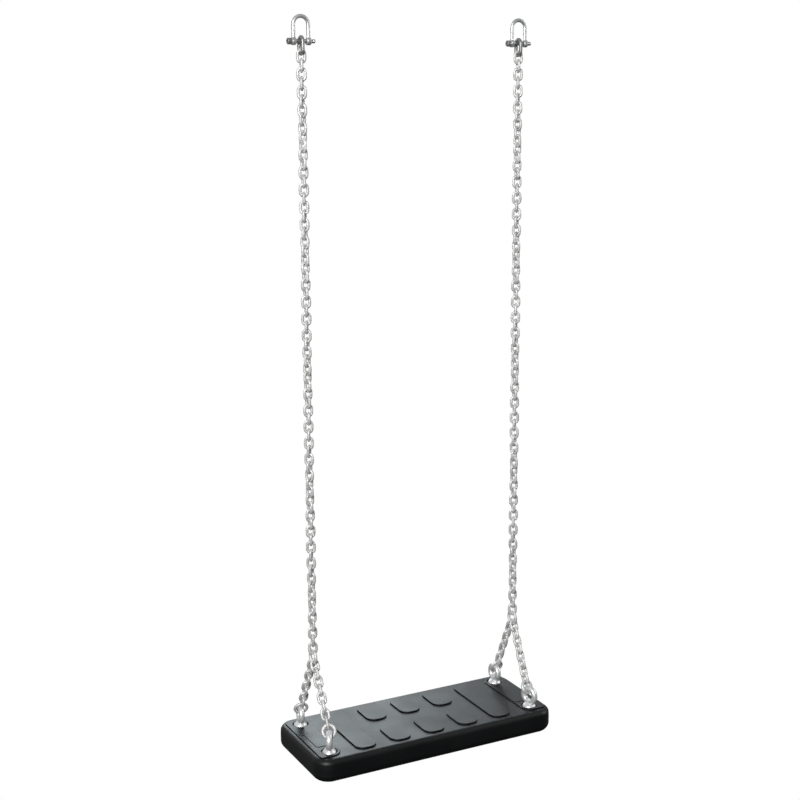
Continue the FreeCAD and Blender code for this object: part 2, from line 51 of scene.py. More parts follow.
# Sizes that the CAD nodes' boxes don't tell, in millimetres and degrees.
# Chain links: the width and length are the clear ones inside a link.
CHAIN_WIRE = 4.5
CHAIN_WIDTH = 6.6
CHAIN_LENGTH = 13.14
CHAIN_LINKS = 72
CHAIN_START = -10.0          # turn of the first link
CHAIN_TWIST = -460.0         # slow twist from the first link to the last
BRANCH_LINKS = 8
TOP_WIRE = 5.6
TOP_WIDTH = 8.4
TOP_LENGTH = 18.6
LINK_GAP = 0.1
LINK_WELD = 0.10             # how much thicker the wire is at the weld, as a share
LINK_WELD_REACH = 1.5

# Rings, by the diameter of their middle line.
RING_WIRE = 5.0
JUNCTION_RING = 22.0
EYE_RING = 20.0
RING_WELD = 0.05
RING_WELD_REACH = 1.8
HANG_GAP = 0.3               # between the junction ring and a branch's first link

# Shackles.
BOW_WIRE = 6.0
BOW_OPENING = 18.0
BOW_HEIGHT = 33.0
BOW_EYE = 11.5
BOW_EYE_WIDTH = 7.0
PIN = 6.0
PIN_CLEARANCE = 0.05
PIN_REACH = 7.0
PIN_HEAD = 9.6
PIN_HEAD_WIDTH = 6.4
PIN_SOCKET = 4.0
PIN_SOCKET_DEPTH = 3.0
THREAD_TURNS = 13
THREAD_DEPTH = 0.32

# Eye bolts, washers and nuts.
EYE_SIZE = 24.0
EYE_BAR = 10.0
EYE_RISE = 19.5              # middle of the eye above the seat's top
EYE_TURNS = {"front_left": -26.0, "rear_left": -12.0, "front_right": 15.0, "rear_right": 0.0}
BOLT_Y = 57.5
BOLT_LENGTH = 58.0           # below the middle of the eye
SHANK = 8.0
RECESS_DEPTH = 3.0
COLLAR = 23.0
WASHER = 20.0
WASHER_THICK = 1.6
NUT_FLATS = 13.0
NUT_HEIGHT = 8.0
NUT_NECK = 5.7               # radius of the rounded neck

# Seat.
PAD_HEIGHT = 2.5
PAD_WIDTH = 37.0
PAD_PITCH = 63.0
PAD_REACH = 74.0             # from the middle to a pad's outer end
PAD_INNER = 13.0             # from the middle to a short pad's inner end
PAD_CORNER = 15.0
BOSS = 17.5                  # radius of the rim round a bolt
PANEL_HEIGHT = 1.8
PANEL_OUTER = 210.0
PANEL_CORNER = 6.0
STEP_INNER = 172.0
STEP_OUTER = 201.0
STEP_REACH = 38.0
STEP_CORNER = 5.0
CORNER = 28.0                # of the slab, seen from above
TOP_ROUND = 9.0
BOTTOM_ROUND = 14.0
SIDE_BULGE = 0.3
SIDE_MIDDLE = -18.0          # where the side bulges most, below the slab's top
SIDE_HALF = 8.0              # from there to where the bulge has died out
SOCKET = 13.0                # radius of the socket that a collar sits in
NUT_SOCKET = 13.5
NUT_SOCKET_DEPTH = 13.0
BORE = 4.2
ROOT = 1.5                   # how far raised details reach into the slab

seat_low, seat_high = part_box("seat_body")
seat_top = seat_high.z - PAD_HEIGHT * MM
pin_level = -BOW_HEIGHT * MM


def middle(node):
    low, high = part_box(node)
    return (low + high) / 2


# ---------------------------------------------------------------- camera

CAMERA_TURN = math.radians(27.36)      # to the right of +Y
CAMERA_DROP = math.radians(12.02)      # below the horizon
CAMERA_ROLL = math.radians(-0.355)
CAMERA_LENS = 64.975
CAMERA_PLACE = Vector((-1.0668, -2.0083, -0.1078))


def make_camera():
    data = bpy.data.cameras.new("camera")
    data.sensor_width = 36.0
    data.lens = CAMERA_LENS
    camera = bpy.data.objects.new("camera", data)
    bpy.context.scene.collection.objects.link(camera)
    look = Vector((math.sin(CAMERA_TURN) * math.cos(CAMERA_DROP),
                   math.cos(CAMERA_TURN) * math.cos(CAMERA_DROP), -math.sin(CAMERA_DROP)))
    camera.location = CAMERA_PLACE
    level = look.to_track_quat("-Z", "Y").to_matrix()
    camera.rotation_euler = (level @ Matrix.Rotation(CAMERA_ROLL, 3, "Z")).to_euler()
    bpy.context.scene.camera = camera


make_camera()


# ---------------------------------------------------------------- mesh tools

def mesh_object(name, points, faces):
    mesh = bpy.data.meshes.new(name)
    mesh.from_pydata([tuple(p) for p in points], [], [tuple(f) for f in faces])
    mesh.validate()
    thing = bpy.data.objects.new(name, mesh)
    bpy.context.scene.collection.objects.link(thing)
    return thing


def outward(thing):
    """Make every face of a closed mesh point out."""
    work = bmesh.new()
    work.from_mesh(thing.data)
    bmesh.ops.remove_doubles(work, verts=work.verts, dist=1e-7)
    bmesh.ops.recalc_face_normals(work, faces=work.faces)
    work.to_mesh(thing.data)
    work.free()
    return thing


def smooth(thing, degrees=180.0):
    """Smooth shading, with edges sharper than an angle left sharp."""
    for face in thing.data.polygons:
        face.use_smooth = True
    if degrees < 180:
        thing.data.set_sharp_from_angle(angle=math.radians(degrees))
    return thing


def flat_faces(thing):
    """Shade the large flat faces flat, with the rounding kept to the narrow faces at their rims."""
    weigh = thing.modifiers.new("flat faces", "WEIGHTED_NORMAL")
    weigh.keep_sharp = True
    return thing


def settle(thing):
    """Apply all modifiers."""
    view = bpy.context.view_layer
    view.update()
    evaluated = thing.evaluated_get(bpy.context.evaluated_depsgraph_get())
    mesh = bpy.data.meshes.new_from_object(evaluated)
    old = thing.data
    thing.modifiers.clear()
    thing.data = mesh
    bpy.data.meshes.remove(old)
    return thing


def boolean(base, tool, operation):
    modifier = base.modifiers.new(operation, "BOOLEAN")
    modifier.operation = operation
    modifier.solver = "EXACT"
    modifier.object = tool
    settle(base)
    bpy.data.objects.remove(tool)
    return base


def joined(name, things):
    """One object from several, their meshes put together as they are."""
    points, faces, start = [], [], 0
    for thing in things:
        place = thing.matrix_world
        points += [place @ v.co for v in thing.data.vertices]
        faces += [[start + i for i in face.vertices] for face in thing.data.polygons]
        start += len(thing.data.vertices)
        bpy.data.objects.remove(thing)
    return mesh_object(name, points, faces)


def melted(thing, voxel, rounds):
    """Forged look: overlapping solids become one skin with softened inside corners."""
    modifier = thing.modifiers.new("skin", "REMESH")
    modifier.mode = "VOXEL"
    modifier.voxel_size = voxel
    soften = thing.modifiers.new("soften", "SMOOTH")
    soften.iterations = rounds
    soften.factor = 0.5
    return smooth(settle(thing))


def sweep(path, radii, closed, segments=16):
    """Skin of round sections along a path; returns points and faces."""
    path = np.asarray(path, float)
    count = len(path)
    if closed:
        ahead = np.roll(path, -1, axis=0) - np.roll(path, 1, axis=0)
    else:
        ahead = np.gradient(path, axis=0)
    ahead /= np.linalg.norm(ahead, axis=1)[:, None]
    centre = path.mean(axis=0)
    flat = np.linalg.svd(path - centre)[2][2]      # the path's own plane, if it has one
    side = np.cross(ahead, flat)
    side /= np.linalg.norm(side, axis=1)[:, None]
    lift = np.cross(side, ahead)
    angles = np.linspace(0, 2 * math.pi, segments, endpoint=False)
    points = (path[:, None, :] + radii[:, None, None] * (
        np.cos(angles)[None, :, None] * side[:, None, :]
        + np.sin(angles)[None, :, None] * lift[:, None, :])).reshape(-1, 3)
    faces = []
    for i in range(count if closed else count - 1):
        j = (i + 1) % count
        for k in range(segments):
            n = (k + 1) % segments
            faces.append((i * segments + k, j * segments + k, j * segments + n, i * segments + n))
    if not closed:
        faces.append(tuple(range(segments))[::-1])
        faces.append(tuple((count - 1) * segments + k for k in range(segments)))
    return points, faces


def lathe(profile, segments=48):
    """Solid of revolution about Z from (radius, height) points that start and end on the axis."""
    points, faces, loops = [], [], []
    for radius, height in profile:
        if radius < 1e-9:
            loops.append([len(points)])
            points.append((0, 0, height))
            continue
        loops.append(list(range(len(points), len(points) + segments)))
        for k in range(segments):
            turn = 2 * math.pi * k / segments
            points.append((radius * math.cos(turn), radius * math.sin(turn), height))
    for low, high in zip(loops, loops[1:]):
        for k in range(segments):
            n = (k + 1) % segments
            if len(low) == 1:
                faces.append((low[0], high[n], high[k]))
            elif len(high) == 1:
                faces.append((low[k], low[n], high[0]))
            else:
                faces.append((low[k], low[n], high[n], high[k]))
    return points, faces


def lathe_object(name, profile, segments=48, place=None):
    points, faces = lathe([(r * MM, z * MM) for r, z in profile], segments)
    thing = outward(mesh_object(name, points, faces))
    if place is not None:
        thing.data.transform(place)
    return thing


# ---------------------------------------------------------------- materials

def add_node(tree, kind, **inputs):
    node = tree.nodes.new(kind)
    for name, value in inputs.items():
        node.inputs[name.replace("_", " ")].default_value = value
    return node


def noise(tree, where, scale, detail=4.0, roughness=0.5):
    node = add_node(tree, "ShaderNodeTexNoise", Scale=scale, Detail=detail, Roughness=roughness)
    tree.links.new(where, node.inputs["Vector"])
    return node.outputs["Fac"]


def ramp(tree, source, stops):
    node = tree.nodes.new("ShaderNodeValToRGB")
    while len(node.color_ramp.elements) < len(stops):
        node.color_ramp.elements.new(0.5)
    for element, (place, colour) in zip(node.color_ramp.elements, stops):
        element.position = place
        element.color = (*colour, 1) if len(colour) == 3 else colour
    tree.links.new(source, node.inputs["Fac"])
    return node.outputs["Color"]


def between(tree, source, low, high):
    node = add_node(tree, "ShaderNodeMapRange", To_Min=low, To_Max=high)
    tree.links.new(source, node.inputs["Value"])
    return node.outputs["Result"]


def blend_colours(tree, share, first, second, mode="MIX"):
    node = tree.nodes.new("ShaderNodeMix")
    node.data_type = "RGBA"
    node.blend_type = mode
    tree.links.new(share, node.inputs["Factor"])
    for socket, value in ((node.inputs[6], first), (node.inputs[7], second)):
        if isinstance(value, tuple):
            socket.default_value = (*value, 1)
        else:
            tree.links.new(value, socket)
    return node.outputs[2]


def bump(tree, height, distance, strength, base=None):
    node = add_node(tree, "ShaderNodeBump", Strength=strength, Distance=distance)
    tree.links.new(height, node.inputs["Height"])
    if base is not None:
        tree.links.new(base, node.inputs["Normal"])
    return node.outputs["Normal"]


def start_material(name):
    material = bpy.data.materials.new(name)
    material.use_nodes = True
    tree = material.node_tree
    shader = tree.nodes["Principled BSDF"]
    where = tree.nodes.new("ShaderNodeTexCoord").outputs["Object"]
    return material, tree, shader, where


def zinc(name, light, dark, rough_low, rough_high, metal, spangle=260.0):
    """Zinc-coated steel: crystalline spangle, dull patches, a slightly uneven skin."""
    material, tree, shader, where = start_material(name)
    shader.inputs["Metallic"].default_value = metal
    crystals = add_node(tree, "ShaderNodeTexVoronoi", Scale=spangle, Randomness=1.0)
    tree.links.new(where, crystals.inputs["Vector"])
    patches = noise(tree, where, 90.0, 5.0, 0.6)
    fine = noise(tree, where, 1400.0, 3.0, 0.6)
    colour = ramp(tree, patches, [(0.32, dark), (0.62, light)])
    grey = tree.nodes.new("ShaderNodeRGBToBW")
    tree.links.new(crystals.outputs["Color"], grey.inputs["Color"])
    shade = ramp(tree, grey.outputs["Val"], [(0.0, (0.82, 0.82, 0.82)), (1.0, (1.0, 1.0, 1.0))])
    full = add_node(tree, "ShaderNodeValue")
    full.outputs[0].default_value = 1.0
    tree.links.new(blend_colours(tree, full.outputs[0], colour, shade, "MULTIPLY"),
                   shader.inputs["Base Color"])
    tree.links.new(between(tree, patches, rough_high, rough_low), shader.inputs["Roughness"])
    skin = bump(tree, patches, 0.30 * MM, 0.05)
    tree.links.new(bump(tree, fine, 0.03 * MM, 0.08, skin), shader.inputs["Normal"])
    return material


def rubber():
    """Moulded black rubber: fine grain, dull bloom in clouds, light scuffs."""
    material, tree, shader, where = start_material("moulded_rubber")
    clouds = noise(tree, where, 14.0, 6.0, 0.6)
    scuffs = noise(tree, where, 120.0, 8.0, 0.75)
    grain = noise(tree, where, 1600.0, 2.0, 0.5)
    pebble = noise(tree, where, 420.0, 3.0, 0.55)
    bloom = blend_colours(tree, between(tree, clouds, 0.0, 1.0), (0.0022, 0.0025, 0.0029),
                          (0.0048, 0.0054, 0.0060))
    marks = ramp(tree, scuffs, [(0.60, (0, 0, 0)), (0.78, (0.35, 0.35, 0.35))])
    tree.links.new(blend_colours(tree, marks, bloom, (0.020, 0.021, 0.022)),
                   shader.inputs["Base Color"])
    tree.links.new(between(tree, clouds, 0.30, 0.56), shader.inputs["Roughness"])
    shader.inputs["Specular IOR Level"].default_value = 0.35
    skin = bump(tree, pebble, 0.12 * MM, 0.30)
    tree.links.new(bump(tree, grain, 0.05 * MM, 0.45, skin), shader.inputs["Normal"])
    return material


# Name, light and dark colour, smoothest and roughest, metallic share, scale of the spangle.
GALVANISED = zinc("galvanised_steel", (0.84, 0.84, 0.83), (0.60, 0.60, 0.59), 0.44, 0.60, 0.45)
BRIGHT = zinc("bright_zinc", (0.93, 0.94, 0.94), (0.80, 0.82, 0.83), 0.32, 0.46, 0.55, 180.0)
SHACKLE = zinc("galvanised_shackle", (0.80, 0.81, 0.81), (0.62, 0.63, 0.63), 0.34, 0.48, 0.75, 200.0)
DARK = zinc("dark_steel", (0.46, 0.46, 0.45), (0.26, 0.26, 0.255), 0.34, 0.55, 0.70, 320.0)
PLATE = zinc("plate_steel", (0.50, 0.51, 0.52), (0.38, 0.38, 0.39), 0.35, 0.5, 0.80, 90.0)
RUBBER = rubber()


def finish_piece(thing, body, nodes, material):
    thing.data.materials.clear()
    thing.data.materials.append(material)
    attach(thing, body)
    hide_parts(*nodes)
    return thing


# ---------------------------------------------------------------- links

def oval_path(width, length, wire, crown_steps, side_steps):
    """Middle line of a link that stands up in the XZ plane, as points."""
    bend = (width + wire) / 2
    lift = (length - width) / 2
    sides = np.linspace(-lift, lift, side_steps, endpoint=False)
    turns = np.linspace(0, math.pi, crown_steps, endpoint=False)
    right = [(bend, 0, z) for z in sides]
    top = [(bend * math.cos(a), 0, lift + bend * math.sin(a)) for a in turns]
    left = [(-bend, 0, -z) for z in sides]
    bottom = [(-bend * math.cos(a), 0, -lift - bend * math.sin(a)) for a in turns]
    return np.array(right + top + left + bottom)


def weld_bulge(path, weld, wire, height, reach):
    """Wire radius along a link or ring: it swells a little at the weld."""
    away = np.linalg.norm(path - weld, axis=1)
    return wire / 2 * (1 + height * np.exp(-(away / reach) ** 2))


def link_mesh(width, length, wire, crown_steps=20, side_steps=9, segments=16):
    path = oval_path(width, length, wire, crown_steps, side_steps)
    weld = np.array(((width + wire) / 2, 0, 0))
    radii = weld_bulge(path, weld, wire, LINK_WELD, LINK_WELD_REACH)
    points, faces = sweep(path * MM, radii * MM, True, segments)
    return points, faces


def placed_links(name, pattern, places):
    """One object of many separate links; every third is turned half round, with its weld."""
    points, faces = pattern
    base = np.c_[points, np.ones(len(points))]
    everything, all_faces = [], []
    for number, place in enumerate(places):
        half_turn = Matrix.Rotation(math.pi if number % 3 == 1 else 0.0, 4, "Z")
        everything.append((base @ np.array(place @ half_turn).T)[:, :3])
        start = number * len(points)
        all_faces += [[start + i for i in face] for face in faces]
    return smooth(outward(mesh_object(name, np.concatenate(everything), all_faces)))


CHAIN_LINK = link_mesh(CHAIN_WIDTH, CHAIN_LENGTH, CHAIN_WIRE)
LINK_SPAN = (CHAIN_LENGTH + CHAIN_WIRE) * MM          # between the middles of its two crowns
SIDE_X = {"left": middle("left_main_chain").x, "right": middle("right_main_chain").x}


def main_chain(side):
    low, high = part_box(f"{side}_main_chain")
    first = high.z - (CHAIN_WIRE * MM + LINK_SPAN) / 2
    last = low.z + (CHAIN_WIRE * MM + LINK_SPAN) / 2
    places = []
    for number in range(CHAIN_LINKS):
        share = number / (CHAIN_LINKS - 1)
        turn = math.radians(CHAIN_START + 90 * number + CHAIN_TWIST * share)
        places.append(Matrix.Translation((SIDE_X[side], 0, first + (last - first) * share))
                      @ Matrix.Rotation(turn, 4, "Z"))
    chain = placed_links(f"{side}_chain_links", CHAIN_LINK, places)
    finish_piece(chain, f"{side}_chain", [f"{side}_main_chain"], GALVANISED)


def ring_facing(node):
    """A ring's axis, from the spread of its own points."""
    points = np.array([v.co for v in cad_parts[node].data.vertices])
    return Vector(np.linalg.svd(points - points.mean(axis=0), full_matrices=False)[2][2])


def round_ring(name, node, size, wire, body, weld_turn):
    """A closed ring with its weld at one side, standing where the CAD ring is."""
    turns = np.linspace(0, 2 * math.pi, 64, endpoint=False)
    path = np.array([(size / 2 * math.cos(a), size / 2 * math.sin(a), 0) for a in turns])
    weld = np.array((size / 2 * math.cos(weld_turn), size / 2 * math.sin(weld_turn), 0))
    radii = weld_bulge(path, weld, wire, RING_WELD, RING_WELD_REACH)
    points, faces = sweep(path * MM, radii * MM, True, 20)
    ring = outward(mesh_object(name, points, faces))
    axis = ring_facing(node)
    ring.data.transform(Matrix.Translation(middle(node)) @ axis.to_track_quat("Z", "X").to_matrix().to_4x4())
    smooth(ring)
    return finish_piece(ring, body, [node], GALVANISED)


def branch(corner, side):
    """Eight links along the straight line from the junction ring to the ring in the eye."""
    junction = middle(f"{side}_junction_ring")
    end = middle(f"{corner}_eye_ring")
    reach = (end - junction).length / MM
    pull = (end - junction).normalized()
    crossing = (CHAIN_WIRE + RING_WIRE) / 2
    first = JUNCTION_RING / 2 - crossing - HANG_GAP
    rigid = first + BRANCH_LINKS * CHAIN_LENGTH + CHAIN_WIRE - crossing + EYE_RING / 2
    step = CHAIN_LENGTH - (rigid - reach) / BRANCH_LINKS
    start_side = (Vector((1, 0, 0)) - pull * pull.x).normalized()
    end_side = pull.cross(ring_facing(f"{corner}_eye_ring")).normalized()
    if end_side.dot(start_side) < 0:
        end_side.negate()
    twist = math.atan2(start_side.cross(end_side).dot(pull), start_side.dot(end_side))
    places = []
    for number in range(BRANCH_LINKS):
        angle = math.pi / 2 * number + twist * (number + 1) / (BRANCH_LINKS + 1)
        across = Matrix.Rotation(angle, 3, pull) @ start_side
        up = -pull
        axes = Matrix((across, up.cross(across), up)).transposed().to_4x4()
        distance = (first + number * step) * MM + LINK_SPAN / 2
        places.append(Matrix.Translation(junction + pull * distance) @ axes)
    links = placed_links(f"{corner}_branch_links", CHAIN_LINK, places)
    finish_piece(links, "seat", [f"{corner}_branch_chain"], GALVANISED)


def top_link(side):
    points, faces = link_mesh(TOP_WIDTH, TOP_LENGTH, TOP_WIRE, 24, 10, 20)
    link = outward(mesh_object(f"{side}_pin_link", points, faces))
    link.data.transform(Matrix.Translation(middle(f"{side}_top_link")) @ Matrix.Rotation(math.pi / 2, 4, "Z"))
    finish_piece(smooth(link), f"{side}_top_link", [f"{side}_top_link"], DARK)


# ---------------------------------------------------------------- shackles

def shackle_bow(side):
    """A bent bar whose legs end in eyes round the pin."""
    bend = (BOW_OPENING + BOW_WIRE) / 2
    lift = BOW_HEIGHT - BOW_OPENING / 2
    legs = np.linspace(0, lift, 10, endpoint=False)
    turns = np.linspace(0, math.pi, 33)
    path = ([(bend, 0, z) for z in legs]
            + [(bend * math.cos(a), 0, lift + bend * math.sin(a)) for a in turns]
            + [(-bend, 0, z) for z in legs[::-1]])
    path = np.array(path)
    points, faces = sweep(path * MM, np.full(len(path), BOW_WIRE / 2) * MM, False, 24)
    solids = [mesh_object("bar", points, faces)]
    across = Matrix.Rotation(math.pi / 2, 4, "Y")
    half, rim = BOW_EYE_WIDTH / 2, BOW_EYE / 2
    eye = [(0, -half), (rim - 0.85, -half), (rim, 0.8 - half), (rim, half - 0.8), (rim - 0.85, half),
           (0, half)]
    for x in (-bend, bend):
        solids.append(lathe_object("eye", eye, 40, Matrix.Translation((x * MM, 0, 0)) @ across))
    bow = melted(joined(f"{side}_bow", solids), 0.42 * MM, 4)
    hole = PIN / 2 + PIN_CLEARANCE
    bore = lathe_object("bore", [(0, -30), (hole, -30), (hole, 30), (0, 30)], 48, across)
    bow = smooth(boolean(bow, bore, "DIFFERENCE"), 50)
    bow.data.transform(Matrix.Translation((SIDE_X[side], 0, pin_level)))
    finish_piece(bow, "shackles", [f"{side}_shackle_bow"], SHACKLE)


def hexagon_prism(name, flats, low, high):
    """A six-sided bar along Z, with corners on its X axis; sizes in millimetres."""
    radius = flats / math.sqrt(3)
    turns = [math.radians(60 * k) for k in range(6)]
    points = [(radius * math.cos(a) * MM, radius * math.sin(a) * MM, z * MM)
              for z in (low, high) for a in turns]
    faces = [tuple(range(6))[::-1], tuple(range(6, 12))]
    faces += [(k, (k + 1) % 6, 6 + (k + 1) % 6, 6 + k) for k in range(6)]
    return outward(mesh_object(name, points, faces))


def shackle_pin(side):
    """Pin with a round head that a hexagon key turns, and thread at its other end."""
    outside = (BOW_OPENING + BOW_WIRE + BOW_EYE_WIDTH) / 2
    end = outside + PIN_REACH
    radius, head = PIN / 2, PIN_HEAD / 2
    rim = [(0.0, -PIN_HEAD_WIDTH), (head - 1.1, -PIN_HEAD_WIDTH), (head - 0.45, -PIN_HEAD_WIDTH + 0.25),
           (head - 0.1, -PIN_HEAD_WIDTH + 0.8), (head, -PIN_HEAD_WIDTH + 1.4), (head, -0.5),
           (head - 0.4, -LINK_GAP), (radius, -LINK_GAP)]
    thread = []
    for number in range(THREAD_TURNS):
        start = outside - 6 + number
        thread += [(radius, start), (radius - THREAD_DEPTH, start + 0.5)]
    profile = ([(r, z - outside) for r, z in rim] + thread
               + [(radius - 0.4, end - 0.4), (radius - 0.7, end), (0, end)])
    pin = lathe_object(f"{side}_pin", profile, 48)
    bottom = -outside - PIN_HEAD_WIDTH
    socket = hexagon_prism("socket", PIN_SOCKET, bottom - 1, bottom + PIN_SOCKET_DEPTH)
    socket.data.transform(Matrix.Rotation(math.pi / 2, 4, "Z"))
    pin = smooth(boolean(pin, socket, "DIFFERENCE"), 40)
    across = Matrix.Rotation(math.pi / 2, 4, "Y")
    pin.data.transform(Matrix.Translation((SIDE_X[side], 0, pin_level)) @ across)
    finish_piece(pin, "shackles", [f"{side}_shackle_pin"], DARK)


# ---------------------------------------------------------------- eye bolts and fasteners

def eye_bolt_mesh():
    """Forged eye on a domed collar, with the shank below; the origin is the eye's middle."""
    turns = np.linspace(0, 2 * math.pi, 72, endpoint=False)
    path = np.array([(0, EYE_SIZE / 2 * math.cos(a), EYE_SIZE / 2 * math.sin(a)) for a in turns])
    points, faces = sweep(path * MM, np.full(72, EYE_BAR / 2) * MM, True, 28)
    floor = -(EYE_RISE + RECESS_DEPTH)
    foot = COLLAR / 2
    collar = [(0, floor), (foot - 0.4, floor), (foot, floor + 0.4), (foot, floor + 3.2),
              (foot - 0.2, floor + 4.4), (foot - 1.1, floor + 6.0), (foot - 2.7, floor + 7.6),
              (foot - 4.6, floor + 9.3), (foot - 6.1, floor + 10.6), (0, floor + 11)]
    radius = SHANK / 2
    shank = [(0, -BOLT_LENGTH), (radius - 0.6, -BOLT_LENGTH), (radius, 0.6 - BOLT_LENGTH),
             (radius, floor + 2), (0, floor + 2)]
    solids = [outward(mesh_object("loop", points, faces)), lathe_object("collar", collar, 56),
              lathe_object("shank", shank, 32)]
    return melted(joined("eye_bolt_pattern", solids), 0.5 * MM, 3)


def eye_bolts():
    pattern = eye_bolt_mesh()
    for corner, turn in EYE_TURNS.items():
        row, side = corner.split("_")
        x = SIDE_X[side]
        y = BOLT_Y * MM * (1 if row == "rear" else -1)
        bolt = bpy.data.objects.new(f"{corner}_bolt", pattern.data.copy())
        bpy.context.scene.collection.objects.link(bolt)
        bolt.data.transform(Matrix.Translation((x, y, seat_top + EYE_RISE * MM))
                            @ Matrix.Rotation(math.radians(turn), 4, "Z"))
        finish_piece(bolt, "seat", [f"{corner}_eye_bolt"], BRIGHT)
    bpy.data.objects.remove(pattern)


def bolt_centres():
    return [(x, y) for x in SIDE_X.values() for y in (-BOLT_Y * MM, BOLT_Y * MM)]


def washer_mesh():
    rim = WASHER / 2
    profile = [(BORE, 0), (rim - 0.3, 0), (rim, 0.25), (rim, WASHER_THICK - 0.25),
               (rim - 0.3, WASHER_THICK), (BORE, WASHER_THICK), (BORE, 0)]
    return lathe_object("washer", profile, 56)


def nut_mesh():
    """Lock nut: a hexagon with chamfered corners and a rounded neck above it."""
    hexagon_height = NUT_HEIGHT - 2.4
    flat, corner = NUT_FLATS / 2 - 0.2, NUT_FLATS / 2 + 1.1
    nut = hexagon_prism("nut", NUT_FLATS, 0, hexagon_height)
    cone = [(0, -0.1), (flat, -0.1), (corner, 0.9), (corner, hexagon_height - 0.9),
            (flat, hexagon_height + 0.1), (0, hexagon_height + 0.1)]
    nut = boolean(nut, lathe_object("cone", cone, 48), "INTERSECT")
    neck = [(0, hexagon_height - 0.7), (NUT_NECK, hexagon_height - 0.7), (NUT_NECK, NUT_HEIGHT - 0.8),
            (NUT_NECK - 0.5, NUT_HEIGHT - 0.2), (NUT_NECK - 1.1, NUT_HEIGHT), (0, NUT_HEIGHT)]
    nut = boolean(nut, lathe_object("neck", neck, 48), "UNION")
    hole = SHANK / 2 + PIN_CLEARANCE
    thread = [(0, -1), (hole, -1), (hole, NUT_HEIGHT + 1), (0, NUT_HEIGHT + 1)]
    return boolean(nut, lathe_object("thread", thread, 40), "DIFFERENCE")


def nuts_and_washers():
    washer_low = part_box("eye_bolt_washers")[0].z
    nut_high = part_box("eye_bolt_nuts")[1].z
    washers, nuts = [], []
    for x, y in bolt_centres():
        washer = washer_mesh()
        washer.data.transform(Matrix.Translation((x, y, washer_low)))
        washers.append(washer)
        nut = nut_mesh()
        nut.data.transform(Matrix.Translation((x, y, nut_high)) @ Matrix.Rotation(math.pi, 4, "X"))
        nuts.append(nut)
    for name, things, node in (("washers", washers, "eye_bolt_washers"),
                               ("lock_nuts", nuts, "eye_bolt_nuts")):
        group = smooth(outward(joined(name, things)), 35)
        finish_piece(group, "seat", [node], BRIGHT)


# ---------------------------------------------------------------- seat

SEAT_LENGTH = (seat_high.x - seat_low.x) / MM
SEAT_WIDTH = (seat_high.y - seat_low.y) / MM
SEAT_THICK = (seat_top - seat_low.z) / MM
BOLT_X = SIDE_X["right"] / MM


def rounded_outline(x_low, x_high, y_low, y_high, radius, steps=12, spacing=8.0):
    """Points round a rectangle with rounded corners; long sides are divided too."""
    points = []
    corners = [(x_high - radius, y_low + radius, -90), (x_high - radius, y_high - radius, 0),
               (x_low + radius, y_high - radius, 90), (x_low + radius, y_low + radius, 180)]
    for number, (x, y, start) in enumerate(corners):
        for k in range(steps + 1):
            turn = math.radians(start + 90 * k / steps)
            points.append((x + radius * math.cos(turn), y + radius * math.sin(turn)))
        after = corners[(number + 1) % 4]
        turn = math.radians(start + 90)
        begin = np.array(points[-1])
        finish = np.array((after[0] + radius * math.cos(turn), after[1] + radius * math.sin(turn)))
        parts = max(1, round(float(np.linalg.norm(finish - begin)) / spacing))
        points += [tuple(begin + (finish - begin) * k / parts) for k in range(1, parts)]
    return points


def stacked(name, outlines):
    """Closed solid from outlines with the same number of points, each at its own height."""
    count = len(outlines[0][0])
    points = [(x * MM, y * MM, z * MM) for outline, z in outlines for x, y in outline]
    faces = [tuple(range(count))[::-1], tuple((len(outlines) - 1) * count + k for k in range(count))]
    for level in range(len(outlines) - 1):
        for k in range(count):
            n = (k + 1) % count
            low, high = level * count, (level + 1) * count
            faces.append((low + k, low + n, high + n, high + k))
    return outward(mesh_object(name, points, faces))


def slab():
    """The seat's block: a soft shoulder on top, slightly barrelled sides, a full round below."""
    levels = []
    for angle in np.radians(np.linspace(90, 0, 12)):
        levels.append((BOTTOM_ROUND * (1 - math.cos(angle)),
                       -SEAT_THICK + BOTTOM_ROUND * (1 - math.sin(angle))))
    for height in np.linspace(-SEAT_THICK + BOTTOM_ROUND + 2, -TOP_ROUND - 3, 5):
        levels.append((SIDE_BULGE * ((height - SIDE_MIDDLE) / SIDE_HALF) ** 2, height))
    for angle in np.radians(np.linspace(0, 90, 12)):
        levels.append((SIDE_BULGE + TOP_ROUND * (1 - math.cos(angle)),
                       -TOP_ROUND + TOP_ROUND * math.sin(angle)))
    outlines = []
    half_x, half_y = SEAT_LENGTH / 2, SEAT_WIDTH / 2
    for inset, height in levels:
        outline = rounded_outline(-half_x, half_x, -half_y, half_y, CORNER, 16)
        centre = np.array([(max(-half_x + CORNER, min(half_x - CORNER, x)),
                            max(-half_y + CORNER, min(half_y - CORNER, y))) for x, y in outline])
        away = np.array(outline) - centre
        outlines.append(([tuple(p) for p in centre + away * (1 - inset / CORNER)], height))
    return stacked("slab", outlines)


def plate(name, x_low, x_high, y_low, y_high, radius, height, edge=0.5):
    """A raised flat with a softened rim, rooted a little below the top face."""
    outlines = []
    levels = [(0.0, -ROOT), (0.0, height - edge)]
    for angle in np.radians((25, 50, 75, 90)):
        levels.append((edge * (1 - math.cos(angle)), height - edge + edge * math.sin(angle)))
    for inset, level in levels:
        outlines.append((rounded_outline(x_low + inset, x_high - inset, y_low + inset, y_high - inset,
                                         radius - inset, 10, 500.0), level))
    return stacked(name, outlines)


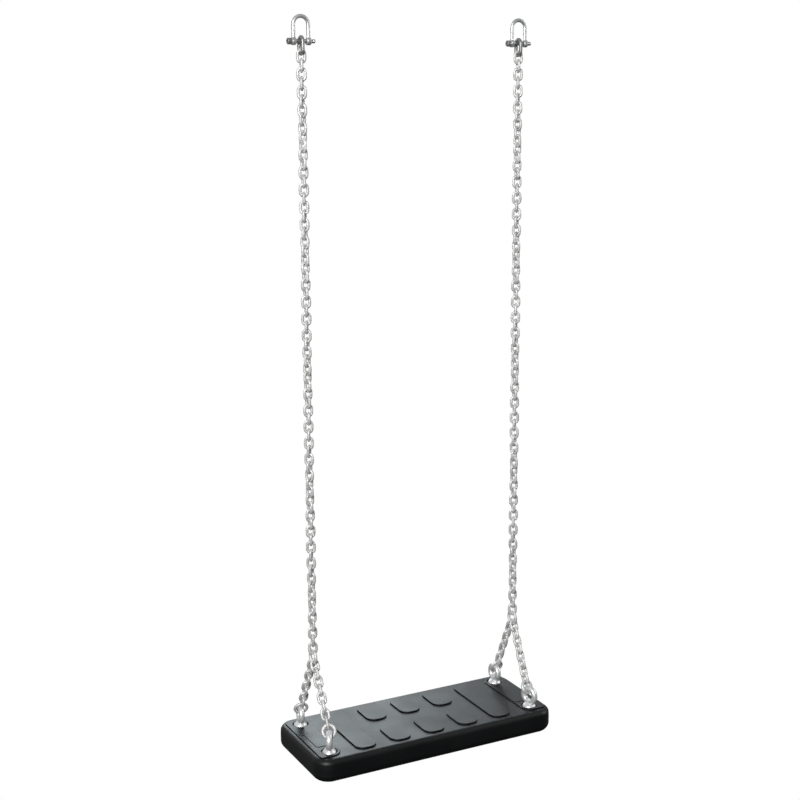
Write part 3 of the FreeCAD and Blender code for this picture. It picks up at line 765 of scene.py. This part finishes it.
def grip_pads():
    """Two long pads and three pairs of short ones between them."""
    pads = []
    for column in range(-2, 3):
        x_low = column * PAD_PITCH - PAD_WIDTH / 2
        x_high = x_low + PAD_WIDTH
        whole = [(-PAD_REACH, PAD_REACH)]
        pair = [(-PAD_REACH, -PAD_INNER), (PAD_INNER, PAD_REACH)]
        for y_low, y_high in whole if abs(column) == 2 else pair:
            pads.append(plate("pad", x_low, x_high, y_low, y_high, PAD_CORNER, PAD_HEIGHT))
    return pads


def bolt_rim(x, y):
    """The round rim about a bolt, a hair higher than the panel that it stands in."""
    top = PANEL_HEIGHT + 0.004
    rim = [(0, -ROOT), (BOSS, -ROOT), (BOSS, 0.9), (BOSS - 0.1, 1.3), (BOSS - 0.4, 1.6),
           (BOSS - 0.9, PANEL_HEIGHT - 0.01), (BOSS - 1.2, top), (0, top)]
    return lathe_object("rim", rim, 72, Matrix.Translation((x * MM, y * MM, 0)))


def end_panels():
    """Raised ends: rims round the bolts, a panel between and outside them, a step on the panel."""
    tools = []
    for sign in (-1, 1):
        inner, outer = sorted((sign * (BOLT_X - BOSS), sign * PANEL_OUTER))
        tools.append(plate("panel", inner, outer, -BOLT_Y, BOLT_Y, PANEL_CORNER, PANEL_HEIGHT))
        inner, outer = sorted((sign * BOLT_X, sign * PANEL_OUTER))
        reach = BOLT_Y + BOSS
        tools.append(plate("edge", inner, outer, -reach, reach, PANEL_CORNER, PANEL_HEIGHT - 0.002))
        inner, outer = sorted((sign * STEP_INNER, sign * STEP_OUTER))
        tools.append(plate("step", inner, outer, -STEP_REACH, STEP_REACH, STEP_CORNER, PAD_HEIGHT))
        tools += [bolt_rim(sign * BOLT_X, y) for y in (-BOLT_Y, BOLT_Y)]
    return tools


def bolt_holes():
    """What is cut away for each bolt: a flared socket above, one for the nut below, and the bore."""
    rim, floor = PANEL_HEIGHT, -SEAT_THICK
    socket = [(0, -RECESS_DEPTH), (SOCKET - 0.3, -RECESS_DEPTH), (SOCKET, 0.4 - RECESS_DEPTH),
              (SOCKET, rim - 0.9), (SOCKET + 0.2, rim - 0.3), (SOCKET + 0.7, rim), (SOCKET + 1.2, rim + 0.8),
              (0, rim + 0.8)]
    nut = [(0, floor - 1), (NUT_SOCKET + 0.9, floor - 1), (NUT_SOCKET + 0.4, floor + 0.3),
           (NUT_SOCKET, floor + 0.9), (NUT_SOCKET, floor + NUT_SOCKET_DEPTH), (0, floor + NUT_SOCKET_DEPTH)]
    bore = [(0, floor + NUT_SOCKET_DEPTH - 1), (BORE, floor + NUT_SOCKET_DEPTH - 1), (BORE, -2), (0, -2)]
    tools = []
    for x, y in bolt_centres():
        place = Matrix.Translation((x, y, 0))
        tools.append(lathe_object("socket", socket, 64, place))
        tools.append(lathe_object("nut_socket", nut, 56, place))
        tools.append(lathe_object("bore", bore, 40, place))
    return tools


def seat():
    body = slab()
    for tool in grip_pads() + end_panels():
        body = boolean(body, tool, "UNION")
    for tool in bolt_holes():
        body = boolean(body, tool, "DIFFERENCE")
    body.name = "rubber_seat"
    body.data.transform(Matrix.Translation((0, 0, seat_top)))
    settle(flat_faces(smooth(body, 32)))
    finish_piece(body, "seat", ["seat_body"], RUBBER)


# ---------------------------------------------------------------- making

for side in ("left", "right"):
    main_chain(side)
    top_link(side)
    shackle_bow(side)
    shackle_pin(side)
    round_ring(f"{side}_fork_ring", f"{side}_junction_ring", JUNCTION_RING, RING_WIRE, f"{side}_ring", 0.4)
    for row in ("front", "rear"):
        branch(f"{row}_{side}", side)
        round_ring(f"{row}_{side}_ring", f"{row}_{side}_eye_ring", EYE_RING, RING_WIRE, "seat", 0.2)
eye_bolts()
nuts_and_washers()
seat()

# The metal plate inside the rubber keeps its CAD mesh and only gets a material.
hidden_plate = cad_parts["seat_reinforcing_plate"]
hidden_plate.data.materials.clear()
hidden_plate.data.materials.append(PLATE)


# ---------------------------------------------------------------- floor and light

FLOOR_DROP = 3.5


def make_floor():
    """A white disc far below, so that the swing hangs in the open."""
    points, faces = lathe([(0, 0), (3, 0), (12, 0), (60, 0)], 96)
    floor = mesh_object("floor", points, faces)
    floor.location.z = seat_low.z - FLOOR_DROP
    material = bpy.data.materials.new("floor")
    material.use_nodes = True
    shader = material.node_tree.nodes["Principled BSDF"]
    shader.inputs["Base Color"].default_value = (0, 0, 0, 1)
    shader.inputs["Roughness"].default_value = 1.0
    shader.inputs["Specular IOR Level"].default_value = 0.0
    shader.inputs["Emission Color"].default_value = (1, 1, 1, 1)
    shader.inputs["Emission Strength"].default_value = 1.0
    floor.data.materials.append(material)
    floor.visible_glossy = False
    floor.visible_diffuse = False
    floor.visible_shadow = False


def make_world():
    """Soft studio surround, dim low in front and bright elsewhere, before a white backdrop."""
    world = bpy.data.worlds.new("studio")
    bpy.context.scene.world = world
    world.use_nodes = True
    tree = world.node_tree
    tree.nodes.clear()
    direction = tree.nodes.new("ShaderNodeTexCoord").outputs["Generated"]
    parts = tree.nodes.new("ShaderNodeSeparateXYZ")
    tree.links.new(direction, parts.inputs["Vector"])
    height = between(tree, parts.outputs["Z"], 0.0, 1.0)
    height.node.inputs["From Min"].default_value = -0.6
    height.node.inputs["From Max"].default_value = 0.4
    depth = between(tree, parts.outputs["Y"], 0.0, 1.0)
    depth.node.inputs["From Min"].default_value = -0.8
    depth.node.inputs["From Max"].default_value = 0.6
    tall = ramp(tree, height, [(0.0, (0.12, 0.12, 0.12)), (0.5, (0.55, 0.55, 0.55)), (1.0, (1.0, 1.0, 1.0))])
    deep = ramp(tree, depth, [(0.0, (0.35, 0.35, 0.35)), (1.0, (1.0, 1.0, 1.0))])
    full = tree.nodes.new("ShaderNodeValue")
    full.outputs[0].default_value = 1.0
    surround = tree.nodes.new("ShaderNodeBackground")
    tree.links.new(blend_colours(tree, full.outputs[0], tall, deep, "MULTIPLY"), surround.inputs["Color"])
    surround.inputs["Strength"].default_value = 0.45
    backdrop = tree.nodes.new("ShaderNodeBackground")
    backdrop.inputs["Color"].default_value = (1, 1, 1, 1)
    backdrop.inputs["Strength"].default_value = 1.0
    seen = tree.nodes.new("ShaderNodeLightPath").outputs["Is Camera Ray"]
    pick = tree.nodes.new("ShaderNodeMixShader")
    tree.links.new(seen, pick.inputs["Fac"])
    tree.links.new(surround.outputs["Background"], pick.inputs[1])
    tree.links.new(backdrop.outputs["Background"], pick.inputs[2])
    out = tree.nodes.new("ShaderNodeOutputWorld")
    tree.links.new(pick.outputs["Shader"], out.inputs["Surface"])


def area_light(name, place, target, size, power, colour=(1, 1, 1)):
    data = bpy.data.lights.new(name, "AREA")
    data.shape = "RECTANGLE"
    data.size, data.size_y = size
    data.energy = power
    data.color = colour
    light = bpy.data.objects.new(name, data)
    bpy.context.scene.collection.objects.link(light)
    light.location = place
    light.rotation_euler = (Vector(target) - Vector(place)).to_track_quat("-Z", "Y").to_euler()
    light.visible_camera = False


make_floor()
make_world()
hang = (0, 0, -0.6)
area_light("rear_panel", (0.5, 2.3, 0.05), (-0.1, 0, -1.1), (1.5, 1.4), 32, (0.86, 0.96, 1.0))
area_light("key", (-2.4, -2.6, 0.7), hang, (1.4, 1.8), 136)
area_light("right_fill", (2.6, -1.0, 0.4), hang, (1.0, 1.8), 22)
bpy.context.scene.view_settings.view_transform = "Standard"
